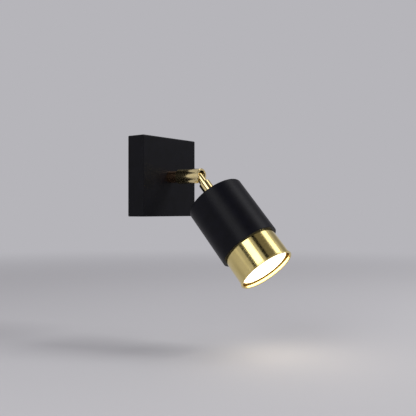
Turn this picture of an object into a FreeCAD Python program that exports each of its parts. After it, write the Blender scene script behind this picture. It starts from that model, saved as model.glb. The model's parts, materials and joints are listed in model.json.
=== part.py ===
import FreeCAD, Part
import math
import os
import re
import Sketcher
from FreeCAD import Placement, Rotation, Vector

# Pivoting spotlight wall light, in millimetres.
# World frame: +Z up, +X right along the wall, the wall is the plane y = 0 and the lamp points to -Y.
# Pieces of the wall box and of the arm are drawn in a frame whose z runs straight out of the wall,
# x to the right and y up. Pieces of the head are drawn in a frame whose z runs along the head's
# axis, from the hinge towards the mouth, with x to the right.

SIZES = {
    # square wall box
    "cover_side": 80.0,
    "cover_depth": 20.5,
    "cover_wall": 1.2,
    "cover_edge": 1.2,
    "cover_screw_out": 8.0,
    # mounting plate on the wall
    "plate_width": 58.0,
    "plate_thick": 1.2,
    "plate_corner": 3.0,
    "plate_bend": 0.6,
    "plate_setback": 2.0,
    "ear_gap": 0.3,
    "ear_width": 16.0,
    "ear_out": 12.5,
    "cable_hole_dia": 22.0,
    "slot_spacing": 43.0,
    "slot_width": 4.5,
    "slot_length": 9.0,
    "earth_up": 25.0,
    "earth_boss_dia": 11.0,
    "earth_boss_out": 3.0,
    # machine screws
    "screw_dia": 2.9,
    "screw_length": 6.0,
    "earth_screw_length": 4.0,
    "screw_head_dia": 5.6,
    "screw_head_thick": 1.9,
    "screw_slack": 0.1,
    "cross_width": 0.8,
    "cross_length": 3.2,
    "cross_deep": 0.9,
    # connector block
    "block_down": 24.0,
    "block_pitch": 9.4,
    "block_length": 15.0,
    "block_height": 8.6,
    "tower_side": 4.5,
    "tower_height": 12.4,
    "tower_bore": 3.4,
    "insert_side": 4.0,
    "insert_length": 12.0,
    "insert_bore": 2.6,
    # fixed collar and its nut inside the wall box
    "collar_dia": 12.0,
    "collar_length": 11.5,
    "shank_dia": 9.8,
    "shank_inside": 6.5,
    "shank_slack": 0.2,
    "collar_nut_flats": 14.0,
    "collar_nut_thick": 3.0,
    "lock_washer_thick": 0.8,
    "lead_bore": 4.2,
    # swivel between collar and arm
    "spigot_dia": 6.2,
    "turn_slack": 0.05,
    "swivel_gap": 0.3,
    "web_length": 9.8,
    "swivel_washer_thick": 0.6,
    "swivel_nut_dia": 9.4,
    "swivel_nut_thick": 3.0,
    "spigot_end": 0.8,
    "stop_pin_dia": 1.4,
    "stop_pin_out": 1.2,
    "stop_pin_radius": 4.6,
    "stop_groove_slack": 0.2,
    "stop_groove_deep": 1.8,
    "stop_groove_angle": 344.0,
    # arm tube with its slotted end
    "arm_length": 28.8,
    "arm_wall": 2.1,
    "arm_chamfer": 0.35,
    "pivot_back": 3.6,
    "neck_side": 1.3,
    "fork_slack": 0.5,
    # cross pins and washers of the hinge
    "pin_dia": 2.4,
    "pin_fit": 0.02,
    "pin_flush": 0.15,
    "hinge_washer_dia": 5.0,
    "hinge_washer_thick": 0.9,
    # tilting stem
    "tilt_rest": 48.5,
    "neck_dia": 7.8,
    "neck_flats": 7.0,
    "neck_length": 10.0,
    "stem_dia": 11.5,
    "stem_length": 20.8,
    "stem_bore": 3.8,
    "stem_thread_dia": 7.9,
    "stem_chamfer": 0.4,
    "stem_nut_flats": 13.0,
    "stem_nut_thick": 4.5,
    "stem_end": 1.0,
    # black housing
    "housing_length": 60.0,
    "housing_wall": 2.6,
    "housing_back": 2.5,
    "housing_edge": 0.6,
    # front sleeve
    "sleeve_in": 16.0,
    "sleeve_wall": 0.9,
    "sleeve_slack": 0.15,
    "lip_out": 0.9,
    "lip_width": 1.5,
    "lip_edge": 0.45,
    # lamp
    "lamp_dia": 50.0,
    "lamp_slack": 0.35,
    "lamp_length": 47.5,
    "lamp_recess": 4.0,
    "lens_dia": 47.6,
    "lens_thick": 2.0,
    "lens_slack": 0.3,
    "rim_length": 7.0,
    "reflector_length": 26.0,
    "reflector_neck_dia": 31.0,
    "cap_dia": 25.0,
    "lamp_pin_spacing": 10.0,
    "lamp_pin_dia": 3.0,
    "lamp_pin_head_dia": 5.0,
    "lamp_pin_head_thick": 2.0,
    "lamp_pin_length": 6.6,
    # lampholder and its bracket
    "bracket_height": 16.2,
    "holder_dia": 26.0,
    "holder_across": 18.0,
    "holder_depth": 17.0,
    "holder_gap": 0.3,
    "holder_screw_spacing": 20.0,
    "bracket_width": 30.0,
    "bracket_strap": 12.0,
    "bracket_thick": 1.0,
    "bracket_lip": 7.5,
    "earth_ring_thick": 0.6,
    # insulated leads
    "lead_dia": 1.6,
    "lead_bend": 2.2,
    "lead_spread": 1.15,
    "lead_clear": 0.3,
}

# Places and sizes that follow from the ones above.
DERIVED = {
    "front_inside": "cover_depth - cover_wall",
    "screw_hole_dia": "screw_dia + 4 * screw_slack",
    "sink_deep": "cover_wall - screw_slack",
    "cover_inside": "cover_side / 2 - cover_wall",
    "ear_face": "cover_inside - ear_gap",
    "plate_height": "2 * (ear_face - plate_thick - plate_setback)",
    "bore_height": "plate_thick + block_height / 2",
    "earth_seat": "earth_boss_out + plate_thick",
    "tag_barrel": "earth_seat + 1.5",
    "collar_front": "cover_depth + collar_length",
    "shank_rear": "front_inside - shank_inside",
    "arm_rear": "collar_front + swivel_gap",
    "arm_front": "arm_rear + arm_length",
    "web_front": "arm_rear + web_length",
    "swivel_nut_rear": "web_front + swivel_washer_thick",
    "spigot_front": "swivel_nut_rear + swivel_nut_thick + spigot_end",
    "pivot_out": "arm_front - pivot_back",
    "arm_bore": "neck_dia + 2 * neck_side",
    "arm_dia": "arm_bore + 2 * arm_wall",
    "slot_centre": "pivot_out - neck_dia / 2 - fork_slack + arm_bore / 2",
    "pin_inner": "stem_bore / 2 + lead_clear",
    "pin_outer": "arm_dia / 2 - pin_flush",
    "washer_inner": "neck_flats / 2 + turn_slack",
    "housing_rear": "neck_length + stem_length",
    "housing_floor": "housing_rear + housing_back",
    "housing_front": "housing_rear + housing_length",
    "sleeve_rear": "housing_front - sleeve_in",
    "sleeve_bore": "lamp_dia + 2 * lamp_slack",
    "sleeve_dia": "sleeve_bore + 2 * sleeve_wall",
    "housing_bore": "sleeve_dia + 2 * sleeve_slack",
    "housing_dia": "housing_bore + 2 * housing_wall",
    "holder_rear": "housing_floor + bracket_height",
    "holder_front": "holder_rear + holder_depth",
    "lamp_seat": "holder_front + holder_gap",
    "lamp_front": "lamp_seat + lamp_length",
    "lens_rear": "lamp_front - lens_thick",
    "rim_rear": "lens_rear - rim_length",
    "reflector_rear": "rim_rear - reflector_length",
    "mouth": "lamp_front + lamp_recess",
    "bracket_floor": "housing_floor + bracket_thick",
    "earth_ring_front": "bracket_floor + earth_ring_thick",
    "stem_nut_rear": "earth_ring_front + lock_washer_thick",
    "stem_nut_front": "stem_nut_rear + stem_nut_thick",
    "stem_front": "stem_nut_front + stem_end",
}

doc = FreeCAD.newDocument("pivoting_wall_spotlight")
sheet = doc.addObject("Spreadsheet::Sheet", "sizes")
kept = []


def fill_sheet():
    """Write every driving size into the sheet under its own name."""
    for row, (alias, value) in enumerate(SIZES.items(), start=1):
        sheet.set("A%d" % row, alias)
        sheet.set("B%d" % row, "%g" % value)
        sheet.setAlias("B%d" % row, alias)
    doc.recompute()


def bound(text):
    """Turn a formula in plain size names into one that reads the sheet."""
    def replace(match):
        word = match.group()
        if word in DERIVED:
            return "(" + bound(DERIVED[word]) + ")"
        if word in SIZES:
            return "sizes." + word
        return word
    return re.sub(r"[a-z][a-z_]*", replace, text)


def size(text):
    """The number that a formula gives."""
    return float(sheet.evalExpression(bound(text)))


def tie(item, prop, text):
    """Bind one property of an object to a formula."""
    item.setExpression(prop, bound(text))


def new_body(label, frame):
    """Start a sub-part in the wall frame or in the head frame."""
    body = doc.addObject("PartDesign::Body", label)
    body.Label = label
    body.AllowCompound = True
    body.Placement = frame
    if frame is HEAD_FRAME:
        tie(body, "Placement.Base.y", "-(pivot_out)")
        tie(body, "Placement.Rotation.Angle", "90 + tilt_rest")
    kept.append(body)
    return body


def origin_item(body, role):
    """One of the body's own planes or axes."""
    for item in body.Origin.OriginFeatures:
        if item.Role == role:
            return item
    raise ValueError(role)


def new_sketch(body, name, role, lift="0"):
    """A sketch on one of the body's planes, lifted off it by a formula."""
    sketch = body.newObject("Sketcher::SketchObject", name)
    sketch.AttachmentSupport = (origin_item(body, role), [""])
    sketch.MapMode = "FlatFace"
    tie(sketch, "AttachmentOffset.Base.z", lift)
    return sketch


def tie_point(sketch, index, start, axis, text):
    """Hold one coordinate of a line's start or a circle's centre at a formula's value."""
    if text == "0":
        line = -2 if axis == "X" else -1
        sketch.addConstraint(Sketcher.Constraint("PointOnObject", index, start, line))
        return
    rule = Sketcher.Constraint("Distance" + axis, -1, 1, index, start, size(text))
    tie(sketch, "Constraints[%d]" % sketch.addConstraint(rule), text)


def polygon(sketch, points):
    """A closed outline through points given as pairs of formulas."""
    count = len(points)
    spots = [Vector(size(x), size(y), 0) for x, y in points]
    for index in range(count):
        sketch.addGeometry(Part.LineSegment(spots[index], spots[(index + 1) % count]))
    for index in range(count):
        sketch.addConstraint(Sketcher.Constraint("Coincident", index, 2, (index + 1) % count, 1))
    for index, (x, y) in enumerate(points):
        tie_point(sketch, index, 1, "X", x)
        tie_point(sketch, index, 1, "Y", y)


def mirrored_outline(half):
    """Close an outline by mirroring its right half across the vertical axis."""
    left = [("-(" + x + ")", y) for x, y in reversed(half)]
    return half + left


def turn(body, name, points):
    """Turn an outline of (radius, height) pairs about the body's z axis."""
    sketch = new_sketch(body, name + "_outline", "XZ_Plane")
    polygon(sketch, points)
    solid = body.newObject("PartDesign::Revolution", name)
    solid.Profile = sketch
    solid.ReferenceAxis = (sketch, ["V_Axis"])
    solid.Angle = 360
    return solid


def pad(body, name, role, points, length, lift="0", midplane=False):
    """Pad a closed outline."""
    sketch = new_sketch(body, name + "_outline", role, lift)
    polygon(sketch, points)
    solid = body.newObject("PartDesign::Pad", name)
    solid.Profile = sketch
    solid.Midplane = midplane
    tie(solid, "Length", length)
    return solid


AXES = {
    "x": Rotation(Vector(0, 1, 0), 90),
    "y": Rotation(Vector(1, 0, 0), -90),
    "z": Rotation(),
}


def cylinder(body, kind, name, dia, length, at, along="z"):
    """Add or cut a cylinder whose axis starts at a point and runs along +x, +y or +z."""
    item = body.newObject("PartDesign::%sCylinder" % kind, name)
    item.Placement = Placement(Vector(), AXES[along])
    tie(item, "Radius", "(" + dia + ") / 2")
    tie(item, "Height", length)
    for letter, text in zip("xyz", at):
        tie(item, "Placement.Base." + letter, text)
    return item


def box(body, kind, name, spans, corner):
    """Add or cut a box with the given spans along x, y, z from its lowest corner."""
    item = body.newObject("PartDesign::%sBox" % kind, name)
    for prop, text in zip(("Length", "Width", "Height"), spans):
        tie(item, prop, text)
    for letter, text in zip("xyz", corner):
        tie(item, "Placement.Base." + letter, text)
    return item


def hexagon(body, name, flats, height, bore, lift):
    """A hexagonal nut with its bore."""
    nut = body.newObject("PartDesign::AdditivePrism", name)
    nut.Polygon = 6
    tie(nut, "Circumradius", "(%s) / sqrt(3)" % flats)
    tie(nut, "Height", height)
    tie(nut, "Placement.Base.z", lift)
    cylinder(body, "Subtractive", name + "_bore", bore, height + " + 2", ("0", "0", lift + " - 1"))


def dress(body, kind, name, wanted, amount):
    """Fillet or chamfer the edges that a test picks."""
    doc.recompute()
    base = body.Tip
    names = []
    for index, edge in enumerate(base.Shape.Edges, start=1):
        if wanted(edge):
            names.append("Edge%d" % index)
    item = body.newObject("PartDesign::" + kind, name)
    item.Base = (base, names)
    tie(item, "Radius" if kind == "Fillet" else "Size", amount)
    return item


def straight_edge(fixed):
    """Test for a straight edge that keeps the given coordinates, on either side of the origin."""
    def wanted(edge):
        if not isinstance(edge.Curve, Part.Line):
            return False
        for letter, value in fixed.items():
            first, last = [getattr(vertex, letter) for vertex in edge.Vertexes]
            if abs(first - last) > 0.01 or abs(abs(first) - value) > 0.01:
                return False
        return True
    return wanted


MITRED = 1
WALL_FRAME = Placement(Vector(), Rotation(Vector(1, 0, 0), 90))
HEAD_FRAME = Placement(Vector(), Rotation(Vector(1, 0, 0), 90))


def washer(label, frame, outer, inner, thick, lift):
    """A plain ring."""
    body = new_body(label, frame)
    cylinder(body, "Additive", "disc", outer, thick, ("0", "0", lift))
    cylinder(body, "Subtractive", "hole", inner, thick + " + 2", ("0", "0", lift + " - 1"))
    return body


def toothed_washer(label, frame, outer, inner, lift):
    """A lock washer with notches round its rim."""
    body = washer(label, frame, outer, inner, "lock_washer_thick", lift)
    notch_length = "(%s - (%s)) / 4" % (outer, inner)
    notch = box(body, "Subtractive", "notch", (notch_length, "1", "lock_washer_thick + 2"),
                ("(%s) / 2 - %s" % (outer, notch_length), "-0.5", lift + " - 1"))
    pattern = body.newObject("PartDesign::PolarPattern", "notches")
    pattern.Originals = [notch]
    pattern.Axis = (origin_item(body, "Z_Axis"), [""])
    pattern.Angle = 360
    pattern.Occurrences = 8
    body.Tip = pattern
    return body


def group(label, source, places):
    """Copies of one piece, as separate solids under one name."""
    item = doc.addObject("Part::Feature", label)
    item.Label = label
    copies = []
    for place in places:
        copy = source.Shape.copy()
        copy.Placement = place
        copies.append(copy)
    item.Shape = Part.makeCompound(copies)
    kept.append(item)
    return item


def cross_recess(body, top):
    """Cut a crossed slot into a screw head whose top is at the given height."""
    for name, long_side in (("cross_a", "x"), ("cross_b", "y")):
        spans = ["cross_width", "cross_width", "2 * cross_deep"]
        spans["xy".index(long_side)] = "cross_length"
        corner = ["-(%s) / 2" % spans[0], "-(%s) / 2" % spans[1], top + " - cross_deep"]
        box(body, "Subtractive", name, spans, corner)


def screw_source(name, length):
    """A pan-head machine screw: underside of its head at z = 0, shank down."""
    body = doc.addObject("PartDesign::Body", name)
    turn(body, "screw", [
        ("0", "-(%s)" % length),
        ("screw_dia / 2", "-(%s)" % length),
        ("screw_dia / 2", "0"),
        ("screw_head_dia / 2", "0"),
        ("screw_head_dia / 2", "screw_head_thick * 0.6"),
        ("screw_head_dia * 0.34", "screw_head_thick"),
        ("0", "screw_head_thick"),
    ])
    cross_recess(body, "screw_head_thick")
    doc.recompute()
    return body


def sunk_screw_source():
    """A countersunk machine screw: top of its head at z = 0, shank down."""
    body = doc.addObject("PartDesign::Body", "sunk_screw_source")
    turn(body, "screw", [
        ("0", "-screw_length"),
        ("screw_dia / 2", "-screw_length"),
        ("screw_dia / 2", "-(sink_deep)"),
        ("screw_hole_dia / 2", "-(sink_deep)"),
        ("screw_hole_dia / 2 + sink_deep", "0"),
        ("0", "0"),
    ])
    cross_recess(body, "0")
    doc.recompute()
    return body


def canopy_cover():
    """Square box, open towards the wall."""
    body = new_body("canopy_cover", WALL_FRAME)
    half = "cover_side / 2"
    minus = "-cover_side / 2"
    outline = [(minus, minus), (half, minus), (half, half), (minus, half)]
    pad(body, "block", "XY_Plane", outline, "cover_depth")
    edge = size(half)
    front = size("cover_depth")
    upright = straight_edge({"X": edge, "Y": edge})
    top = straight_edge({"Z": front})
    dress(body, "Fillet", "soft_edges", lambda item: upright(item) or top(item), "cover_edge")
    inner = "2 * cover_inside"
    box(body, "Subtractive", "hollow", (inner, inner, "front_inside + 1"),
        ("-(cover_inside)", "-(cover_inside)", "-1"))
    cylinder(body, "Subtractive", "collar_hole", "shank_dia + 2 * shank_slack",
             "cover_wall + 2", ("0", "0", "front_inside - 1"))
    cylinder(body, "Subtractive", "screw_holes", "screw_hole_dia",
             "cover_side + 2", ("0", "-cover_side / 2 - 1", "cover_screw_out"), "y")

    def outer_ring(item):
        low, high = item.BoundBox.YMin, item.BoundBox.YMax
        return len(item.Vertexes) == 1 and high - low < 0.01 and abs(abs(low) - edge) < 0.01
    dress(body, "Chamfer", "screw_sinks", outer_ring, "sink_deep")
    return body


def wall_plate():
    """Pressed steel plate with two ears bent forward, which take the cover screws."""
    body = new_body("wall_plate", WALL_FRAME)
    wide = "plate_width / 2"
    high = "plate_height / 2"
    pad(body, "sheet", "XY_Plane",
        [("-" + wide, "-(" + high + ")"), (wide, "-(" + high + ")"), (wide, high), ("-" + wide, high)],
        "plate_thick")
    corner = straight_edge({"X": size(wide), "Y": size(high)})
    dress(body, "Fillet", "corners", corner, "plate_corner")
    strap = [
        ("ear_face", "0"),
        ("ear_face", "ear_out"),
        ("ear_face - plate_thick", "ear_out"),
        ("ear_face - plate_thick", "plate_thick"),
    ]
    pad(body, "ears", "YZ_Plane", mirrored_outline(strap), "ear_width", midplane=True)
    face = size("ear_face")
    outer = straight_edge({"Y": face, "Z": 0.0})
    inner = straight_edge({"Y": face - size("plate_thick"), "Z": size("plate_thick")})
    tips = straight_edge({"X": size("ear_width / 2"), "Z": size("ear_out")})
    dress(body, "Fillet", "outer_bend", outer, "plate_thick + plate_bend - 0.4")
    dress(body, "Fillet", "inner_bend", inner, "plate_bend")
    dress(body, "Fillet", "ear_tips", tips, "plate_corner")
    through = ("plate_thick + 2", "-1")
    cylinder(body, "Subtractive", "cable_hole", "cable_hole_dia", through[0], ("0", "0", through[1]))
    reach = "(slot_length - slot_width) / 2"
    for side in ("-", "+"):
        centre = "%sslot_spacing / 2" % side
        tag = "left" if side == "-" else "right"
        box(body, "Subtractive", "slot_" + tag, ("slot_length - slot_width", "slot_width", through[0]),
            ("%s - %s" % (centre, reach), "-slot_width / 2", through[1]))
        for end in ("-", "+"):
            name = "slot_%s_%s" % (tag, "in" if end == side else "out")
            cylinder(body, "Subtractive", name, "slot_width", through[0],
                     ("%s %s %s" % (centre, end, reach), "0", through[1]))
    cylinder(body, "Additive", "earth_boss", "earth_boss_dia", "earth_seat", ("0", "earth_up", "0"))
    cylinder(body, "Subtractive", "earth_boss_hollow", "earth_boss_dia - 2 * plate_thick",
             "earth_boss_out + 1", ("0", "earth_up", "-1"))
    cylinder(body, "Subtractive", "earth_hole", "screw_dia + screw_slack", "earth_seat + 2",
             ("0", "earth_up", "-1"))
    cylinder(body, "Subtractive", "block_hole", "screw_dia + screw_slack", through[0],
             ("block_pitch / 2", "-block_down", through[1]))
    cylinder(body, "Subtractive", "ear_holes", "screw_dia + screw_slack", "cover_side",
             ("0", "-cover_side / 2", "cover_screw_out"), "y")
    return body


def cover_screws():
    """One flush screw in the top side and one in the bottom side."""
    source = sunk_screw_source()
    out = size("cover_screw_out")
    edge = size("cover_side / 2")
    places = []
    for sign in (1, -1):
        places.append(Placement(Vector(0, -out, sign * edge), Rotation(Vector(1, 0, 0), 90 - 90 * sign)))
    return group("cover_screws", source, places)


def terminal_block():
    """Three-pole connector block."""
    body = new_body("terminal_block", WALL_FRAME)
    box(body, "Additive", "bed", ("3 * block_pitch", "block_length", "block_height"),
        ("-1.5 * block_pitch", "-block_down - block_length / 2", "plate_thick"))
    for pole in (-1, 0, 1):
        for row in (-1, 1):
            name = "%s_%s" % ({-1: "left", 0: "middle", 1: "right"}[pole], "low" if row < 0 else "high")
            spot = ("%d * block_pitch" % pole, "-block_down + %d * block_length / 4" % row)
            box(body, "Additive", "tower_" + name, ("tower_side", "tower_side", "tower_height"),
                ("%s - tower_side / 2" % spot[0], "%s - tower_side / 2" % spot[1], "plate_thick"))
    for pole in (-1, 0, 1):
        for row in (-1, 1):
            name = "%s_%s" % ({-1: "left", 0: "middle", 1: "right"}[pole], "low" if row < 0 else "high")
            spot = ("%d * block_pitch" % pole, "-block_down + %d * block_length / 4" % row)
            cylinder(body, "Subtractive", "well_" + name, "tower_bore", "tower_height",
                     spot + ("bore_height",))
        box(body, "Subtractive", "channel_%d" % (pole + 1),
            ("insert_side + 0.1", "block_length + 2", "insert_side + 0.1"),
            ("%d * block_pitch - insert_side / 2 - 0.05" % pole,
             "-block_down - block_length / 2 - 1", "bore_height - insert_side / 2 - 0.05"))
    cylinder(body, "Subtractive", "fixing_hole", "screw_dia + 2 * screw_slack", "block_height + 2",
             ("block_pitch / 2", "-block_down", "plate_thick - 1"))
    return body


def terminal_inserts():
    """Brass wire clamps in the connector block, one a pole."""
    body = new_body("terminal_inserts", WALL_FRAME)
    for pole in (-1, 0, 1):
        box(body, "Additive", "clamp_%d" % (pole + 1), ("insert_side", "insert_length", "insert_side"),
            ("%d * block_pitch - insert_side / 2" % pole,
             "-block_down - insert_length / 2", "bore_height - insert_side / 2"))
    for pole in (-1, 0, 1):
        cylinder(body, "Subtractive", "clamp_bore_%d" % (pole + 1), "insert_bore", "insert_length + 2",
                 ("%d * block_pitch" % pole, "-block_down - insert_length / 2 - 1", "bore_height"), "y")
    return body


def terminal_screws():
    """Slotted clamp screws, two a pole."""
    body = new_body("terminal_screws", WALL_FRAME)
    bottom = "bore_height + insert_side / 2 + 0.05"
    for pole in (-1, 0, 1):
        for row in (-1, 1):
            tag = "%d_%d" % (pole + 1, row + 1)
            x = "%d * block_pitch" % pole
            y = "-block_down + %d * block_length / 4" % row
            cylinder(body, "Additive", "screw_" + tag, "tower_bore - 0.2", "4", (x, y, bottom))
            box(body, "Subtractive", "slit_" + tag, ("tower_bore", "0.6", "1"),
                (x + " - tower_bore / 2", y + " - 0.3", bottom + " + 3.2"))
    return body


def plate_screws():
    """The connector block's fixing screw and the earth screw, both into the plate."""
    turned = Rotation(Vector(1, 0, 0), 90)
    block_top = size("plate_thick + block_height")
    block = Placement(Vector(size("block_pitch / 2"), -block_top, -size("block_down")), turned)
    group("block_screw", screw_source("block_screw_source", "block_height + plate_thick - 0.2"), [block])
    tag_top = size("earth_seat + earth_ring_thick")
    earth = Placement(Vector(0, -tag_top, size("earth_up")), turned)
    group("earth_screw", screw_source("earth_screw_source", "earth_screw_length"), [earth])


def earth_tag():
    """Ring tag under the earth screw, with the barrel that grips the earth lead."""
    body = new_body("earth_tag", WALL_FRAME)
    cylinder(body, "Additive", "eye", "8", "earth_ring_thick", ("0", "earth_up", "earth_seat"))
    box(body, "Additive", "tongue", ("3", "9", "earth_ring_thick"),
        ("-1.5", "earth_up - 9", "earth_seat"))
    cylinder(body, "Additive", "barrel", "3", "4.5", ("0", "earth_up - 12", "tag_barrel"), "y")
    cylinder(body, "Subtractive", "barrel_bore", "lead_dia + 0.1", "4",
             ("0", "earth_up - 13", "tag_barrel"), "y")
    cylinder(body, "Subtractive", "eye_hole", "screw_dia + 2 * screw_slack", "3",
             ("0", "earth_up", "earth_seat - 1"))
    return body


def swivel_collar():
    """Turned collar: threaded shank in the wall box, plain neck outside, spigot for the arm."""
    body = new_body("swivel_collar", WALL_FRAME)
    turn(body, "collar", [
        ("lead_bore / 2", "shank_rear"),
        ("shank_dia / 2 - 0.5", "shank_rear"),
        ("shank_dia / 2", "shank_rear + 0.5"),
        ("shank_dia / 2", "cover_depth"),
        ("collar_dia / 2", "cover_depth"),
        ("collar_dia / 2", "collar_front - 0.3"),
        ("collar_dia / 2 - 0.3", "collar_front"),
        ("spigot_dia / 2", "collar_front"),
        ("spigot_dia / 2", "spigot_front - 0.4"),
        ("spigot_dia / 2 - 0.4", "spigot_front"),
        ("lead_bore / 2", "spigot_front"),
    ])
    cylinder(body, "Subtractive", "stop_pin_seat", "stop_pin_dia", "4",
             ("stop_pin_radius", "0", "collar_front - 3"))
    return body


def collar_nut():
    """Thin hexagonal nut on the shank, inside the wall box."""
    body = new_body("collar_nut", WALL_FRAME)
    hexagon(body, "nut", "collar_nut_flats", "collar_nut_thick", "shank_dia + 0.1",
            "front_inside - lock_washer_thick - collar_nut_thick")
    return body


def swivel_stop_pin():
    """Dowel in the collar's face that runs in the arm's groove and limits its turn."""
    body = new_body("swivel_stop_pin", WALL_FRAME)
    cylinder(body, "Additive", "dowel", "stop_pin_dia - 0.02", "3 + stop_pin_out",
             ("stop_pin_radius", "0", "collar_front - 3"))
    return body


def swivel_nut():
    """Round nut with two spanner slots, inside the arm."""
    body = washer("swivel_nut", WALL_FRAME, "swivel_nut_dia", "spigot_dia + 0.1",
                  "swivel_nut_thick", "swivel_nut_rear")
    box(body, "Subtractive", "spanner_slots", ("swivel_nut_dia + 2", "1.2", "2"),
        ("-swivel_nut_dia / 2 - 1", "-0.6", "swivel_nut_rear + swivel_nut_thick - 1.2"))
    return body


def arm_tube():
    """Short horizontal tube: bearing web behind, open slotted fork in front."""
    body = new_body("arm_tube", WALL_FRAME)
    hole = "spigot_dia + 2 * turn_slack"
    edge = "arm_chamfer"
    turn(body, "tube", [
        ("(%s) / 2" % hole, "arm_rear"),
        ("arm_dia / 2 - " + edge, "arm_rear"),
        ("arm_dia / 2", "arm_rear + " + edge),
        ("arm_dia / 2", "arm_front - " + edge),
        ("arm_dia / 2 - " + edge, "arm_front"),
        ("arm_bore / 2 + 0.2", "arm_front"),
        ("arm_bore / 2", "arm_front - 0.2"),
        ("arm_bore / 2", "web_front"),
        ("(%s) / 2" % hole, "web_front"),
    ])
    box(body, "Subtractive", "fork_slot", ("arm_bore", "arm_dia", "arm_front + 1 - slot_centre"),
        ("-(arm_bore) / 2", "-(arm_dia)", "slot_centre"))
    cylinder(body, "Subtractive", "fork_slot_end", "arm_bore", "arm_dia",
             ("0", "-(arm_dia)", "slot_centre"), "y")
    cylinder(body, "Subtractive", "pin_holes", "pin_dia + 2 * pin_fit", "arm_dia + 2",
             ("-(arm_dia) / 2 - 1", "0", "pivot_out"), "x")
    stop_groove(body)
    return body


def stop_groove(body):
    """Part-circle groove in the arm's rear face: the land left in it meets the stop pin."""
    half = "stop_pin_dia / 2 + stop_groove_slack"
    sketch = new_sketch(body, "groove_outline", "XZ_Plane")
    polygon(sketch, [
        ("stop_pin_radius - (%s)" % half, "arm_rear - 0.5"),
        ("stop_pin_radius + %s" % half, "arm_rear - 0.5"),
        ("stop_pin_radius + %s" % half, "arm_rear + stop_groove_deep"),
        ("stop_pin_radius - (%s)" % half, "arm_rear + stop_groove_deep"),
    ])
    groove = body.newObject("PartDesign::Groove", "stop_groove")
    groove.Profile = sketch
    groove.ReferenceAxis = (sketch, ["V_Axis"])
    groove.Midplane = True
    tie(groove, "Angle", "stop_groove_angle")


def twin(body, original):
    """Mirror a feature to the other side of the hinge."""
    pair = body.newObject("PartDesign::Mirrored", "other_side")
    pair.Originals = [original]
    pair.MirrorPlane = (origin_item(body, "YZ_Plane"), [""])
    body.Tip = pair


def hinge_pins():
    """Two short cross pins, pressed flush into the fork's cheeks."""
    body = new_body("hinge_pins", WALL_FRAME)
    pin = cylinder(body, "Additive", "pin", "pin_dia", "pin_outer - (pin_inner)",
                   ("pin_inner", "0", "pivot_out"), "x")
    twin(body, pin)
    return body


def hinge_washers():
    """Friction washers between the neck's flats and the fork's cheeks."""
    body = new_body("hinge_washers", WALL_FRAME)
    disc = cylinder(body, "Additive", "disc", "hinge_washer_dia", "hinge_washer_thick",
                    ("washer_inner", "0", "pivot_out"), "x")
    twin(body, disc)
    cylinder(body, "Subtractive", "hole", "pin_dia + 0.1", "arm_dia",
             ("-(arm_dia) / 2", "0", "pivot_out"), "x")
    return body


def flex_sleeve():
    """Glass-fibre sleeve over the leads between the collar and the neck."""
    body = new_body("flex_sleeve", WALL_FRAME)
    length = "pivot_out - neck_dia / 2 - lead_clear - (spigot_front) - lead_clear"
    cylinder(body, "Additive", "sleeve", "lead_bore - 0.4", length,
             ("0", "0", "spigot_front + lead_clear"))
    return body


def knuckle_stem():
    """Stem with a round-ended neck in the fork and a thread through the housing's back."""
    body = new_body("knuckle_stem", HEAD_FRAME)
    edge = "stem_chamfer"
    turn(body, "stem", [
        ("0", "0"),
        ("neck_dia / 2", "0"),
        ("neck_dia / 2", "neck_length"),
        ("stem_dia / 2 - " + edge, "neck_length"),
        ("stem_dia / 2", "neck_length + " + edge),
        ("stem_dia / 2", "housing_rear"),
        ("stem_thread_dia / 2", "housing_rear"),
        ("stem_thread_dia / 2", "stem_front - 0.5"),
        ("stem_thread_dia / 2 - 0.5", "stem_front"),
        ("0", "stem_front"),
    ])
    ball = body.newObject("PartDesign::AdditiveSphere", "round_end")
    tie(ball, "Radius", "neck_dia / 2")
    for side in ("-", "+"):
        corner = "neck_flats / 2" if side == "+" else "-neck_flats / 2 - neck_dia"
        box(body, "Subtractive", "flat_left" if side == "-" else "flat_right",
            ("neck_dia", "neck_dia + 2", "neck_dia"), (corner, "-neck_dia / 2 - 1", "-neck_dia / 2 - 0.5"))
    cylinder(body, "Subtractive", "lead_hole", "stem_bore", "stem_front + neck_dia + 2",
             ("0", "0", "-neck_dia"))
    cylinder(body, "Subtractive", "pin_hole", "pin_dia + 2 * turn_slack", "neck_dia + 2",
             ("-neck_dia / 2 - 1", "0", "0"), "x")
    return body


def head_housing():
    """Black cylinder with a closed back."""
    body = new_body("head_housing", HEAD_FRAME)
    turn(body, "can", [
        ("stem_thread_dia / 2 + 0.15", "housing_rear"),
        ("housing_dia / 2 - housing_edge", "housing_rear"),
        ("housing_dia / 2 - housing_edge * 0.3", "housing_rear + housing_edge * 0.3"),
        ("housing_dia / 2", "housing_rear + housing_edge"),
        ("housing_dia / 2", "housing_front - housing_edge / 2"),
        ("housing_dia / 2 - housing_edge / 2", "housing_front"),
        ("housing_bore / 2", "housing_front"),
        ("housing_bore / 2", "housing_floor"),
        ("stem_thread_dia / 2 + 0.15", "housing_floor"),
    ])
    return body


def front_sleeve():
    """Thin sleeve in the housing's mouth, with a small rolled lip."""
    body = new_body("front_sleeve", HEAD_FRAME)
    lip = "sleeve_dia / 2 + lip_out"
    turn(body, "sleeve", [
        ("sleeve_bore / 2", "sleeve_rear"),
        ("sleeve_dia / 2", "sleeve_rear"),
        ("sleeve_dia / 2", "mouth - lip_width"),
        (lip + " - lip_edge", "mouth - lip_width"),
        (lip, "mouth - lip_width + lip_edge"),
        (lip, "mouth - lip_edge"),
        (lip + " - lip_edge", "mouth"),
        ("sleeve_bore / 2 + lip_edge", "mouth"),
        ("sleeve_bore / 2", "mouth - lip_edge"),
    ])
    return body


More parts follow.
